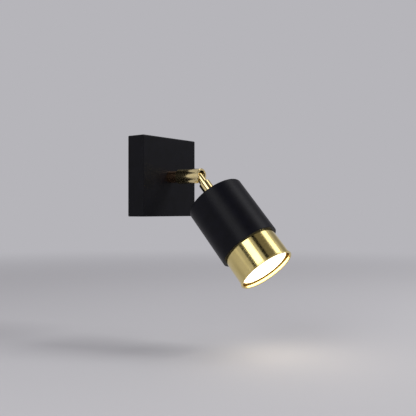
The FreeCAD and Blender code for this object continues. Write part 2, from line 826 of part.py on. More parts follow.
def holder_bracket():
    """Bent strap that carries the lampholder above the stem's nut."""
    body = new_body("holder_bracket", HEAD_FRAME)
    half = "bracket_width / 2"
    strap = [
        (half, "housing_floor"),
        (half, "holder_rear"),
        (half + " - bracket_lip", "holder_rear"),
        (half + " - bracket_lip", "holder_rear - bracket_thick"),
        (half + " - bracket_thick", "holder_rear - bracket_thick"),
        (half + " - bracket_thick", "bracket_floor"),
    ]
    pad(body, "strap", "XZ_Plane", mirrored_outline(strap), "bracket_strap", midplane=True)
    low = straight_edge({"X": size(half), "Z": size("housing_floor")})
    high = straight_edge({"X": size(half), "Z": size("holder_rear")})
    dress(body, "Fillet", "bends", lambda edge: low(edge) or high(edge), "bracket_thick * 0.9")
    cylinder(body, "Subtractive", "stem_hole", "stem_thread_dia + 0.3", "3",
             ("0", "0", "housing_floor - 1"))
    for side in ("-", "+"):
        cylinder(body, "Subtractive", "tapped_left" if side == "-" else "tapped_right",
                 "screw_dia + screw_slack", "bracket_thick + 2",
                 (side + "holder_screw_spacing / 2", "0", "holder_rear - bracket_thick - 1"))
    return body


def head_earth_ring():
    """Ring tag that earths the head, clamped under the stem's nut."""
    body = washer("head_earth_ring", HEAD_FRAME, "stem_thread_dia + 5", "stem_thread_dia + 0.3",
                  "earth_ring_thick", "bracket_floor")
    return body


def stem_nut():
    """Hexagonal nut that clamps the housing and the bracket to the stem."""
    body = new_body("stem_nut", HEAD_FRAME)
    hexagon(body, "nut", "stem_nut_flats", "stem_nut_thick", "stem_thread_dia + 0.1", "stem_nut_rear")
    return body


def lamp_holder():
    """Ceramic twist-lock lampholder with two keyholes."""
    body = new_body("lamp_holder", HEAD_FRAME)
    cylinder(body, "Additive", "round", "holder_dia", "holder_depth", ("0", "0", "holder_rear"))
    for side in ("-", "+"):
        corner = "holder_across / 2" if side == "+" else "-holder_across / 2 - holder_dia"
        tag = "low" if side == "-" else "high"
        box(body, "Subtractive", "flat_" + tag, ("holder_dia + 2", "holder_dia", "holder_depth + 2"),
            ("-holder_dia / 2 - 1", corner, "holder_rear - 1"))
        spot = side + "lamp_pin_spacing / 2"
        cylinder(body, "Subtractive", "keyhole_" + tag, "lamp_pin_head_dia + 0.6",
                 "lamp_pin_length + 2", ("0", spot, "holder_front - lamp_pin_length - 1"))
        cylinder(body, "Subtractive", "screw_hole_" + tag, "screw_dia + 2 * screw_slack",
                 "holder_depth + 2", (side + "holder_screw_spacing / 2", "0", "holder_rear - 1"))
        cylinder(body, "Subtractive", "head_well_" + tag, "screw_head_dia + 0.6", "holder_depth",
                 (side + "holder_screw_spacing / 2", "0", "holder_rear + 3.5"))
        cylinder(body, "Subtractive", "lead_hole_" + tag, "lead_dia + 0.2", "6",
                 ("0", side + "lamp_pin_spacing / 2", "holder_rear - 1"))
    return body


def lamp_cap():
    """White cap of the lamp, seated on the holder."""
    body = new_body("lamp_cap", HEAD_FRAME)
    turn(body, "cap", [
        ("0", "lamp_seat"),
        ("cap_dia / 2 - 1", "lamp_seat"),
        ("cap_dia / 2", "lamp_seat + 1"),
        ("cap_dia / 2", "lamp_seat + 7"),
        ("reflector_neck_dia / 2", "reflector_rear"),
        ("0", "reflector_rear"),
    ])
    return body


def lamp_pins():
    """The lamp's two headed contact pins."""
    body = new_body("lamp_pins", HEAD_FRAME)
    for side, tag in (("-", "low"), ("+", "high")):
        spot = side + "lamp_pin_spacing / 2"
        cylinder(body, "Additive", "shank_" + tag, "lamp_pin_dia", "lamp_pin_length - 0.05",
                 ("0", spot, "lamp_seat - lamp_pin_length"))
        cylinder(body, "Additive", "knob_" + tag, "lamp_pin_head_dia", "lamp_pin_head_thick",
                 ("0", spot, "lamp_seat - lamp_pin_length"))
    return body


def lamp_body():
    """Reflector-shaped body of the lamp, with a deep front rim."""
    body = new_body("lamp_body", HEAD_FRAME)
    neck = "reflector_neck_dia / 2"
    rim = "lamp_dia / 2"
    grow = "(lamp_dia - reflector_neck_dia) / 2"
    turn(body, "reflector", [
        ("0", "reflector_rear"),
        (neck, "reflector_rear"),
        ("%s + %s * 0.42" % (neck, grow), "reflector_rear + reflector_length * 0.25"),
        ("%s + %s * 0.78" % (neck, grow), "reflector_rear + reflector_length * 0.6"),
        (rim, "rim_rear"),
        (rim, "lamp_front"),
        ("lens_dia / 2", "lamp_front"),
        ("lens_dia / 2", "lens_rear"),
        ("0", "lens_rear"),
    ])
    return body


def lamp_lens():
    """Frosted front disc of the lamp, let into its rim."""
    body = new_body("lamp_lens", HEAD_FRAME)
    cylinder(body, "Additive", "disc", "lens_dia - lens_slack", "lens_thick - lens_slack",
             ("0", "0", "lens_rear"))
    return body


def eased_path(points, bend):
    """Straight runs whose corners are cut off by a short chord, as long as a bend of that radius."""
    spots = [points[0]]
    for index in range(1, len(points) - 1):
        corner = points[index]
        before = (points[index - 1] - corner).normalize()
        after = (points[index + 1] - corner).normalize()
        cut = bend / math.tan(before.getAngle(after) / 2)
        spots.append(corner + before * cut)
        spots.append(corner + after * cut)
    spots.append(points[-1])
    return Part.makePolygon(spots)


def lead(label, frame, route):
    """One insulated lead, swept along its route with mitred corners, in the given frame."""
    points = [Vector(size(x), size(y), size(z)) for x, y, z in route]
    path = eased_path(points, size("lead_bend"))
    ring = Part.Circle(points[0], points[1] - points[0], size("lead_dia / 2")).toShape()
    item = doc.addObject("Part::Feature", label)
    item.Label = label
    item.Shape = path.makePipeShell([Part.Wire([ring])], True, False, MITRED)
    item.Placement = frame
    kept.append(item)
    return item


def canopy_leads():
    """Live, neutral and earth leads from the collar's bore to their terminals."""
    far = "spigot_front - 0.5"
    turn_out = "shank_rear - 4"
    clamp = "-block_down + insert_length / 2 + 0.2"
    for label, side in (("live_lead", "-"), ("neutral_lead", "+")):
        aside = side + "lead_spread * 0.87"
        lead(label, WALL_FRAME, [
            (aside, "-lead_spread / 2", far),
            (aside, "-lead_spread / 2", turn_out),
            (side + "block_pitch", "-8", "bore_height"),
            (side + "block_pitch", clamp, "bore_height"),
        ])
    lead("earth_lead", WALL_FRAME, [
        ("0", "lead_spread", far),
        ("0", "lead_spread", "tag_barrel + 3.5"),
        ("0", "7", "tag_barrel"),
        ("0", "earth_up - 9.2", "tag_barrel"),
    ])


def head_leads(frame):
    """Live and neutral leads from the stem's bore to the lampholder."""
    for label, side in (("head_live_lead", "-"), ("head_neutral_lead", "+")):
        aside = side + "lead_spread * 0.75"
        lead(label, frame, [
            ("0", aside, "neck_length"),
            ("0", aside, "stem_front + 0.6"),
            ("0", side + "lamp_pin_spacing / 2", "holder_rear - 2.5"),
            ("0", side + "lamp_pin_spacing / 2", "holder_rear + 4"),
        ])


def head_place():
    """The head frame as a fixed placement, for pieces that are not bodies."""
    return Placement(Vector(0, -size("pivot_out"), 0), Rotation(Vector(1, 0, 0), 90 + size("tilt_rest")))


def holder_screws(frame):
    """Two screws that hold the lampholder on its bracket."""
    source = screw_source("holder_screw_source", "screw_length")
    places = []
    for side in (-1, 1):
        spot = Vector(side * size("holder_screw_spacing / 2"), 0, size("holder_rear + 3.5"))
        places.append(frame.multiply(Placement(spot, Rotation())))
    return group("holder_screws", source, places)


def build():
    """Make every sub-part."""
    fill_sheet()
    canopy_cover()
    wall_plate()
    terminal_block()
    terminal_inserts()
    terminal_screws()
    earth_tag()
    swivel_collar()
    toothed_washer("collar_washer", WALL_FRAME, "collar_nut_flats + 2", "shank_dia + 0.4",
                   "front_inside - lock_washer_thick")
    collar_nut()
    swivel_stop_pin()
    washer("swivel_washer", WALL_FRAME, "swivel_nut_dia", "spigot_dia + 0.2",
           "swivel_washer_thick", "web_front")
    swivel_nut()
    arm_tube()
    hinge_pins()
    hinge_washers()
    flex_sleeve()
    knuckle_stem()
    head_housing()
    front_sleeve()
    holder_bracket()
    head_earth_ring()
    toothed_washer("stem_washer", HEAD_FRAME, "stem_nut_flats + 2", "stem_thread_dia + 0.3",
                   "earth_ring_front")
    stem_nut()
    lamp_holder()
    lamp_cap()
    lamp_pins()
    lamp_body()
    lamp_lens()
    cover_screws()
    plate_screws()
    holder_screws(head_place())
    canopy_leads()
    head_leads(head_place())
    doc.recompute()


def check_and_write():
    """Stop on any failed object or bad solid, then write one STEP file a sub-part."""
    for item in doc.Objects:
        if "Invalid" in item.State or "Error" in item.State:
            raise RuntimeError("%s: %s" % (item.Name, item.State))
    for item in kept:
        if item.Shape.isNull() or not item.Shape.isValid():
            raise RuntimeError("bad shape: " + item.Label)
    os.makedirs("parts", exist_ok=True)
    for item in kept:
        item.Shape.exportStep("parts/%s.step" % item.Label)
        print("%-20s %d solid(s) %9.1f mm3" % (item.Label, len(item.Shape.Solids), item.Shape.Volume))


build()
check_and_write()
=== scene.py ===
import json
import math

import bpy
from mathutils import Matrix, Vector


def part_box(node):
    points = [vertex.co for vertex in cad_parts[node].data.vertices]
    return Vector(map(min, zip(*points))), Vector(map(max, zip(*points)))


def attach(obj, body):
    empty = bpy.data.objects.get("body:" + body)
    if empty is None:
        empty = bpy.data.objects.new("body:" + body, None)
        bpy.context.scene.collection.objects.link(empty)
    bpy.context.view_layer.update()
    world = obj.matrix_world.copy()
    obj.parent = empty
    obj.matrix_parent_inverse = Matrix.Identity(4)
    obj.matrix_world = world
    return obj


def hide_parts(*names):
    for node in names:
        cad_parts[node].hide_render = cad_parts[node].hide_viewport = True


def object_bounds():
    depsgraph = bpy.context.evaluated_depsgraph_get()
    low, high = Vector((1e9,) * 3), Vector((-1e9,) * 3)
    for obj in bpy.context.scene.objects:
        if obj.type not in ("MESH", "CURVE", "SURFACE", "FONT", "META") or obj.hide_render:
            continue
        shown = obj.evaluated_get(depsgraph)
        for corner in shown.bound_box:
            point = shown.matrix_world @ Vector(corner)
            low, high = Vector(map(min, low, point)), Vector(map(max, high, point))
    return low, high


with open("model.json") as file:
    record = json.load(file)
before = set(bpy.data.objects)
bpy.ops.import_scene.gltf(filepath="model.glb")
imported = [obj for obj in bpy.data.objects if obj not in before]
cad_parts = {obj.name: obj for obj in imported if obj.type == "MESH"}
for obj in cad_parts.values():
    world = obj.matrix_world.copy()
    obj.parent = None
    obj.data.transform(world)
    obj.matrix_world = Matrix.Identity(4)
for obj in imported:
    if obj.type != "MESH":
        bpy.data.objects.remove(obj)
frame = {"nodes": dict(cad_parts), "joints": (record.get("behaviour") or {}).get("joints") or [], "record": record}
cad_box = [list(corner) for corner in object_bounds()]
nodes = frame["nodes"]

MM = 0.001

# The head's axis at rest, from the tilt hinge out through the mouth.
TILT = math.radians(48.5)
HEAD_AXIS = Vector((0.0, -math.cos(TILT), -math.sin(TILT)))

# ---------------------------------------------------------------- camera

PHOTO_SIDE = 416
FOCAL_PIXELS = 617.1
SENSOR_MM = 36.0
CAMERA_PLACE = Vector((-0.4763, -0.4339, -0.0343))
CAMERA_HEADING = math.radians(52.519)
CAMERA_PITCH = math.radians(0.26)


def make_camera():
    """A level camera in front of the light and to its left."""
    data = bpy.data.cameras.new("camera")
    data.sensor_width = SENSOR_MM
    data.lens = FOCAL_PIXELS / PHOTO_SIDE * SENSOR_MM
    data.clip_start = 0.01
    data.clip_end = 20.0
    camera = bpy.data.objects.new("camera", data)
    camera.location = CAMERA_PLACE
    camera.rotation_euler = (math.pi / 2 + CAMERA_PITCH, 0.0, -CAMERA_HEADING)
    bpy.context.collection.objects.link(camera)
    bpy.context.scene.camera = camera


# ---------------------------------------------------------------- node helpers

def linear(hex_colour):
    """An sRGB hex colour as linear RGBA."""
    values = [int(hex_colour[i:i + 2], 16) / 255 for i in (1, 3, 5)]
    rgb = [v / 12.92 if v <= 0.04045 else ((v + 0.055) / 1.055) ** 2.4 for v in values]
    return (*rgb, 1.0)


def add(tree, kind, settings=None, **inputs):
    """Add a node, set its properties and set or link its inputs."""
    node = tree.nodes.new(kind)
    for name, value in (settings or {}).items():
        setattr(node, name, value)
    for name, value in inputs.items():
        key = int(name[3:]) if name.startswith("in_") else name.replace("_", " ")
        socket = node.inputs[key]
        if isinstance(value, bpy.types.NodeSocket):
            tree.links.new(value, socket)
        else:
            socket.default_value = value
    return node


def new_material(name):
    """An empty material with a Principled shader wired to its output."""
    material = bpy.data.materials.new(name)
    material.use_nodes = True
    tree = material.node_tree
    tree.nodes.clear()
    shader = add(tree, "ShaderNodeBsdfPrincipled")
    add(tree, "ShaderNodeOutputMaterial", Surface=shader.outputs["BSDF"])
    return material, tree, shader


def along_axis(tree, lean, stretch=(1.0, 1.0, 1.0)):
    """Object coordinates with z along a piece's axis, which leans from upright about X."""
    place = add(tree, "ShaderNodeTexCoord")
    mapped = add(tree, "ShaderNodeMapping", {"vector_type": "TEXTURE"},
                 Vector=place.outputs["Object"], Rotation=(math.radians(lean), 0.0, 0.0), Scale=stretch)
    return mapped.outputs["Vector"]


def grain(tree, size_mm, detail=2.0, stretch=(1.0, 1.0, 1.0), lean=0.0):
    """Noise with features of about a real size in millimetres, drawn out along or across an axis."""
    noise = add(tree, "ShaderNodeTexNoise", Vector=along_axis(tree, lean, stretch), Detail=detail,
                Scale=1.0 / (size_mm * MM))
    return noise.outputs["Fac"]


# Noise seldom leaves this span, so it is what colours and gloss are spread over.
NOISE_LOW, NOISE_HIGH = 0.3, 0.7


def surface(name, colours, rough, broad, fine, depth_mm, strength, **fixed):
    """A finish whose colour drifts with a broad grain and whose gloss and relief follow a fine one.

    Both grains are given as the arguments of grain() after its tree, from a size in millimetres on.
    """
    material, tree, shader = new_material(name)
    cloud, skin = grain(tree, *broad), grain(tree, *fine)
    drift = add(tree, "ShaderNodeMapRange", Value=cloud, in_1=NOISE_LOW, in_2=NOISE_HIGH)
    colour = add(tree, "ShaderNodeMix", {"data_type": "RGBA"}, in_0=drift.outputs["Result"],
                 in_6=linear(colours[0]), in_7=linear(colours[1]))
    gloss = add(tree, "ShaderNodeMapRange", Value=skin, in_1=NOISE_LOW, in_2=NOISE_HIGH,
                in_3=rough[0], in_4=rough[1])
    bump = add(tree, "ShaderNodeBump", Height=skin, Distance=depth_mm * MM, Strength=strength)
    tree.links.new(colour.outputs[2], shader.inputs["Base Color"])
    tree.links.new(gloss.outputs["Result"], shader.inputs["Roughness"])
    tree.links.new(bump.outputs["Normal"], shader.inputs["Normal"])
    for socket, value in fixed.items():
        shader.inputs[socket.replace("_", " ")].default_value = value
    return material


# ---------------------------------------------------------------- materials

# How far the arm's and the head's axes lean from upright, about X, so that z runs outward.
ARM_LEAN, HEAD_LEAN = 90.0, 138.5
# Polishing and turning marks: a pattern drawn out twenty times along the piece's axis, or round it.
ALONG, ROUND = (1.0, 1.0, 20.0), (20.0, 20.0, 1.0)


def powder_coat(name, colours, rough, sheen):
    """Satin powder coat: nearly black, with a fine orange peel that softens every highlight."""
    return surface(name, colours, (rough - 0.05, rough + 0.06), broad=(9.0, 2.0), fine=(0.55, 3.0),
                   depth_mm=0.02, strength=0.35, Specular_IOR_Level=sheen)


def plated_brass(name, colours, rough, lean, drawn):
    """Lacquered brass plating: warm metal with faint polishing lines along or round its axis."""
    return surface(name, colours, (rough - 0.03, rough + 0.05), broad=(11.0, 2.0),
                   fine=(0.35, 2.0, drawn, lean), depth_mm=0.004, strength=0.25, Metallic=1.0)


def plain_metal(name, colours, rough, patch_mm):
    """Plated or bright steel, or plain brass: metal with soft patches."""
    return surface(name, colours, (rough - 0.06, rough + 0.08), broad=(patch_mm, 2.0),
                   fine=(patch_mm, 2.0), depth_mm=0.01, strength=0.2, Metallic=1.0)


def moulded(name, colours, rough, grain_mm, depth_mm):
    """Moulded plastic, rubber, yarn or fired ceramic: a matt skin with its own grain."""
    return surface(name, colours, (rough - 0.05, rough + 0.05), broad=(grain_mm * 8, 2.0),
                   fine=(grain_mm, 3.0), depth_mm=depth_mm, strength=0.4)


# Where the yellow starts in a wave from 0 to 1, so that it covers about a third.
YELLOW_FROM = 0.72
# The grain and the relief of silicone rubber, in millimetres.
RUBBER_GRAIN, RUBBER_RELIEF = 0.25, 0.01


def earth_lead_skin(name, colours, rough, stripe_mm):
    """A silicone skin with a yellow stripe winding round green, as on every earth lead."""
    material = moulded(name, colours, rough, RUBBER_GRAIN, RUBBER_RELIEF)
    tree = material.node_tree
    bands = add(tree, "ShaderNodeTexWave", {"bands_direction": "DIAGONAL"},
                Vector=along_axis(tree, 0.0), Scale=1.0 / (stripe_mm * MM) / math.pi,
                Distortion=0.0)
    stripe = add(tree, "ShaderNodeMath", {"operation": "GREATER_THAN"}, in_0=bands.outputs["Fac"],
                 in_1=YELLOW_FROM)
    colour = next(node for node in tree.nodes if node.type == "MIX")
    tree.links.new(stripe.outputs[0], colour.inputs[0])
    return material


def make_materials():
    """Every finish, by the record's material slot."""
    finishes = {}

    # Polyester powder baked on pressed steel: nearly black, satin, with a fine orange peel.
    finishes["black_cover"] = powder_coat(
        "powder_coated_steel_box", ("#07070b", "#0b0b11"), 0.44, 0.12)
    # The same powder on a turned aluminium tube: a touch smoother, so lights show as soft streaks.
    finishes["black_housing"] = powder_coat(
        "powder_coated_aluminium_housing", ("#08080e", "#0c0c14"), 0.37, 0.12)
    # Black oxide under oil: thinner than paint, so the screw heads stay glossier and greyer.
    finishes["black_screw"] = powder_coat(
        "black_oxide_screw", ("#0c0c10", "#131317"), 0.40, 0.25)

    # Drawn tube, polished and lacquered: a mirror in pale gold, with faint draw lines along it.
    finishes["polished_brass"] = plated_brass(
        "polished_brass_arm", ("#eed99f", "#f3e0a9"), 0.11, ARM_LEAN, ALONG)
    # Turned bar, plated: redder than the arm beside it, with fine rings from the tool.
    finishes["collar_brass"] = plated_brass(
        "plated_brass_collar", ("#dcae86", "#e6bb93"), 0.20, ARM_LEAN, ROUND)
    # Turned bar, polished: narrow bright stripes, because the bar is thin.
    finishes["stem_brass"] = plated_brass(
        "polished_brass_stem", ("#e8d295", "#f1dea2"), 0.11, HEAD_LEAN, ROUND)
    # Spun sleeve, satin before plating: broad stripes with soft edges and fine rings round it.
    finishes["brushed_brass"] = plated_brass(
        "satin_brass_sleeve", ("#edd88f", "#f3df99"), 0.15, HEAD_LEAN, ROUND)
    # Gold rim, darker and duller than the plating: painted shade, so that it reads as the thin dark line of the
    # shaded groove round the lens.
    finishes["lens_rim"] = plated_brass(
        "lens_rim_gold_with_painted_shade", ("#b08c42", "#bc984c"), 0.30, HEAD_LEAN, ROUND)

    # Hardened spring steel, tumbled bright: grey and fairly sharp.
    finishes["spring_steel"] = plain_metal(
        "bright_spring_steel", ("#8f9092", "#a3a4a6"), 0.30, 2.0)
    # Rolled sheet, electroplated with zinc: pale, cloudy and a little blue.
    finishes["zinc_steel"] = plain_metal(
        "zinc_plated_steel", ("#b9bcc0", "#c8cbce"), 0.34, 6.0)
    # Cold-headed screws and nuts, zinc plated: pale with small warm patches.
    finishes["zinc_screw"] = plain_metal(
        "zinc_plated_screw", ("#b9b9b2", "#cbcac3"), 0.30, 1.5)
    # Hot-tinned copper: the whitest metal here, smooth and soft.
    finishes["tinned_tag"] = plain_metal(
        "tinned_copper_tag", ("#bcbcbb", "#d2d2d0"), 0.25, 1.0)
    # Brass from the bar, not polished: the duller yellow of a terminal.
    finishes["clamp_brass"] = plain_metal(
        "plain_brass_clamp", ("#b8964f", "#c8a75f"), 0.32, 1.0)
    # Nickel on brass: warm grey and the sharpest of the small parts.
    finishes["nickel_pin"] = plain_metal(
        "nickel_plated_pin", ("#b9b3a4", "#c9c4b7"), 0.22, 0.8)

    # Polyamide from a spark-eroded mould: off-white and matt, grain of a third of a millimetre.
    finishes["white_nylon"] = moulded(
        "moulded_white_nylon", ("#dcdcd4", "#e6e6e0"), 0.50, 0.3, 0.01)
    # Extruded silicone rubber: a soft sheen and nearly even colour, one for each lead.
    finishes["brown_lead"] = moulded(
        "brown_silicone_lead", ("#4a2712", "#56301a"), 0.48, RUBBER_GRAIN, RUBBER_RELIEF)
    finishes["blue_lead"] = moulded(
        "blue_silicone_lead", ("#254f9a", "#2d59a6"), 0.48, RUBBER_GRAIN, RUBBER_RELIEF)
    # The same rubber in two colours, its yellow stripe about a third of the way round.
    finishes["green_lead"] = earth_lead_skin(
        "green_and_yellow_silicone_lead", ("#3f8a34", "#e2c52c"), 0.48, 2.2)
    # Braided glass yarn, heat cleaned: cream and quite matt, with fibres in each yarn.
    finishes["glass_sleeve"] = moulded(
        "braided_glass_yarn", ("#d8cfb8", "#e6dfca"), 0.70, 0.12, 0.02)
    # Steatite, fired without glaze: cream, chalky, a grain like fine sandpaper.
    finishes["cream_ceramic"] = moulded(
        "unglazed_steatite", ("#dcd3bf", "#e6ddcb"), 0.62, 0.35, 0.02)
    # Glass-filled polyester, moulded smooth: white with a wide soft sheen.
    finishes["white_cap"] = moulded(
        "moulded_white_lamp_cap", ("#e2e2dd", "#ebebe6"), 0.34, 0.5, 0.006)
    finishes["white_reflector"] = moulded(
        "moulded_white_lamp_body", ("#e0e0dc", "#eaeae6"), 0.36, 0.6, 0.006)
    # Frosted polycarbonate with the lamp on: an even warm white, brighter than anything else.
    finishes["lit_lens"] = surface(
        "frosted_lens_lit", ("#fff2de", "#fff6e6"), (0.40, 0.55), broad=(6.0, 2.0), fine=(0.6, 2.0),
        depth_mm=0.02, strength=0.3, Emission_Color=linear("#fff0d2"), Emission_Strength=4.0)
    return finishes


def dress_nodes(materials):
    """Give each CAD node the finish of its material slot."""
    for row in frame["record"]["subparts"]:
        piece = nodes[row["node"]]
        piece.data.materials.clear()
        piece.data.materials.append(materials[row["material_slot"]])


# ---------------------------------------------------------------- pieces of the looks

ROUND_STEPS = 128
SHARP_EDGE = math.radians(40)


def joint_place(name):
    """Where the record puts a joint."""
    row = next(joint for joint in frame["joints"] if joint["name"] == name)
    return Vector(row["pos_m"])


def span_along(node, origin, axis):
    """How far a CAD node reaches along an axis, from its lowest to its highest point."""
    reach = [(vertex.co - origin).dot(axis) for vertex in nodes[node].data.vertices]
    return min(reach), max(reach)


def turned(name, profile, origin, axis, count):
    """A ring turned from a closed outline of (radius, height) pairs, listed against the clock."""
    side = Vector((1.0, 0.0, 0.0))
    up = axis.cross(side)
    rows = []
    for step in range(count):
        angle = 2 * math.pi * step / count
        out = side * math.cos(angle) + up * math.sin(angle)
        rows.append([origin + axis * height + out * radius for radius, height in profile])
    size = len(profile)
    faces = []
    for step in range(count):
        ahead = (step + 1) % count
        for i in range(size):
            j = (i + 1) % size
            faces.append((step * size + i, ahead * size + i, ahead * size + j, step * size + j))
    mesh = bpy.data.meshes.new(name)
    mesh.from_pydata([spot for row in rows for spot in row], [], faces)
    mesh.shade_smooth()
    mesh.set_sharp_from_angle(angle=SHARP_EDGE)
    piece = bpy.data.objects.new(name, mesh)
    bpy.context.collection.objects.link(piece)
    return piece


# The rim's outer and inner radius, its height, and the hair's breadth between it and the lamp.
RIM_OUTER, RIM_INNER = 24.95 * MM, 23.15 * MM
RIM_RISE = 0.85 * MM
RIM_GAP = 0.03 * MM
ARCH_STEPS = 8


def make_lens_rim(materials):
    """The narrow rolled rim that holds the lens, seen as a gold line round the light."""
    pivot = joint_place("head_tilt")
    face = span_along("lamp_body", pivot, HEAD_AXIS)[1]
    middle, half = (RIM_OUTER + RIM_INNER) / 2, (RIM_OUTER - RIM_INNER) / 2
    arch = []
    for step in range(ARCH_STEPS + 1):
        angle = math.pi * step / ARCH_STEPS
        arch.append((middle + half * math.cos(angle), face + RIM_GAP + RIM_RISE * math.sin(angle)))
    rim = turned("lens_rim", arch, pivot, HEAD_AXIS, ROUND_STEPS)
    # Its darkened gold is painted shade for the groove between the lens and the sleeve.
    rim.data.materials.append(materials["lens_rim"])
    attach(rim, "head")


def ask(tree, name, kind, value):
    """A named input on a Geometry Nodes tree."""
    socket = tree.interface.new_socket(name=name, in_out="INPUT", socket_type=kind)
    if value is not None:
        socket.default_value = value
    return socket


def finish_tree(tree, geometry, material):
    """The last nodes of every tree here: plain geometry in one finish."""
    solid = add(tree, "GeometryNodeRealizeInstances", Geometry=geometry)
    painted = add(tree, "GeometryNodeSetMaterial", Geometry=solid.outputs[0], Material=material)
    add(tree, "NodeGroupOutput", Geometry=painted.outputs[0])


# The braid: yarns wound each way, how far round each goes, and its width and thickness.
YARNS = 8
YARN_TURNS = 0.6
YARN_WIDTH, YARN_HEIGHT = 0.80 * MM, 0.20 * MM
YARN_SIDES = 6
# Six points to each over and under of a yarn that crosses eight others in a turn.
STEPS_PER_TURN = 48
# Bare core at each end of the sleeve, beyond the yarns' cut ends.
BRAID_HEM = 0.31 * MM
CORE_STEPS = 24


def braid_tree(material):
    """Yarns wound both ways round a core, each passing over and under the ones it crosses."""
    tree = bpy.data.node_groups.new("braid", "GeometryNodeTree")
    ask(tree, "Core", "NodeSocketGeometry", None)
    ask(tree, "Radius", "NodeSocketFloat", 1.0)
    ask(tree, "Length", "NodeSocketFloat", 1.0)
    ask(tree, "Turns", "NodeSocketFloat", 1.0)
    ask(tree, "Yarns", "NodeSocketInt", 8)
    ask(tree, "Yarn Width", "NodeSocketFloat", 1.0)
    ask(tree, "Yarn Height", "NodeSocketFloat", 1.0)
    tree.interface.new_socket(name="Geometry", in_out="OUTPUT", socket_type="NodeSocketGeometry")
    given = add(tree, "NodeGroupInput").outputs

    # One yarn: a helix whose distance from the axis rises and falls once for each two crossings.
    section = add(tree, "GeometryNodeCurvePrimitiveCircle", Resolution=YARN_SIDES, Radius=0.5)
    flat = add(tree, "ShaderNodeCombineXYZ", X=given["Yarn Height"], Y=given["Yarn Width"], Z=1.0)
    section = add(tree, "GeometryNodeTransform", Geometry=section.outputs["Curve"],
                  Scale=flat.outputs[0])
    along = add(tree, "GeometryNodeSplineParameter")
    turn = add(tree, "ShaderNodeMath", {"operation": "MULTIPLY"}, in_0=along.outputs["Factor"],
               in_1=given["Turns"])
    crossing = add(tree, "ShaderNodeMath", {"operation": "MULTIPLY"}, in_0=turn.outputs[0],
                   in_1=given["Yarns"])
    phase = add(tree, "ShaderNodeMath", {"operation": "MULTIPLY"}, in_0=crossing.outputs[0],
                in_1=2 * math.pi)
    weave = add(tree, "ShaderNodeMath", {"operation": "COSINE"}, in_0=phase.outputs[0])
    sway = add(tree, "ShaderNodeMath", {"operation": "MULTIPLY"}, in_0=weave.outputs[0],
               in_1=given["Yarn Height"])
    here = add(tree, "GeometryNodeInputPosition")
    level = add(tree, "ShaderNodeVectorMath", {"operation": "MULTIPLY"}, in_0=here.outputs[0],
                in_1=(1.0, 1.0, 0.0))
    outward = add(tree, "ShaderNodeVectorMath", {"operation": "NORMALIZE"}, in_0=level.outputs[0])

    # As many copies as there are yarns one way, turned evenly round, and the same the other way.
    ring = add(tree, "GeometryNodeMeshLine", Count=given["Yarns"], Offset=(0.0, 0.0, 0.0))
    order = add(tree, "GeometryNodeInputIndex")
    share = add(tree, "ShaderNodeMath", {"operation": "DIVIDE"}, in_0=order.outputs[0],
                in_1=given["Yarns"])
    angle = add(tree, "ShaderNodeMath", {"operation": "MULTIPLY"}, in_0=share.outputs[0],
                in_1=2 * math.pi)
    spin = add(tree, "ShaderNodeCombineXYZ", Z=angle.outputs[0])
    wound = []
    for back, side in ((False, 0.5), (True, -0.5)):
        helix = add(tree, "GeometryNodeCurveSpiral", Resolution=STEPS_PER_TURN,
                    Rotations=given["Turns"], Start_Radius=given["Radius"],
                    End_Radius=given["Radius"], Height=given["Length"], Reverse=back)
        reach = add(tree, "ShaderNodeMath", {"operation": "MULTIPLY"}, in_0=sway.outputs[0],
                    in_1=side)
        lift = add(tree, "ShaderNodeVectorMath", {"operation": "SCALE"}, in_0=outward.outputs[0],
                   Scale=reach.outputs[0])
        woven = add(tree, "GeometryNodeSetPosition", Geometry=helix.outputs["Curve"],
                    Offset=lift.outputs[0])
        upright = add(tree, "GeometryNodeSetCurveNormal", {"mode": "Z_UP"}, Curve=woven.outputs[0])
        yarn = add(tree, "GeometryNodeCurveToMesh", Curve=upright.outputs[0],
                   Profile_Curve=section.outputs[0], Fill_Caps=True)
        wound.append(add(tree, "GeometryNodeInstanceOnPoints", Points=ring.outputs["Mesh"],
                         Instance=yarn.outputs[0], Rotation=spin.outputs[0]))
    joined = add(tree, "GeometryNodeJoinGeometry")
    for part in wound:
        tree.links.new(part.outputs[0], joined.inputs[0])
    tree.links.new(given["Core"], joined.inputs[0])
    finish_tree(tree, joined.outputs[0], material)
    return tree


def grown(name, base, tree, sizes, place=Matrix()):
    """A plain mesh from a Geometry Nodes tree, with its inputs set by their identifiers."""
    maker = base.modifiers.new("maker", "NODES")
    maker.node_group = tree
    for item in tree.interface.items_tree:
        if item.in_out == "INPUT" and item.name in sizes:
            maker[item.identifier] = sizes[item.name]
    ready = base.evaluated_get(bpy.context.evaluated_depsgraph_get())
    mesh = bpy.data.meshes.new_from_object(ready)
    base.modifiers.clear()
    bpy.data.objects.remove(base)
    for spare in reversed([i for i, used in enumerate(mesh.materials) if used is None]):
        mesh.materials.pop(index=spare)
    mesh.name = name
    mesh.transform(place)
    mesh.shade_smooth()
    mesh.set_sharp_from_angle(angle=SHARP_EDGE)
    piece = bpy.data.objects.new(name, mesh)
    bpy.context.collection.objects.link(piece)
    return piece


def leaning(place, lean):
    """A frame at a place whose z leans from upright about X."""
    return Matrix.Translation(place) @ Matrix.Rotation(math.radians(lean), 4, "X")


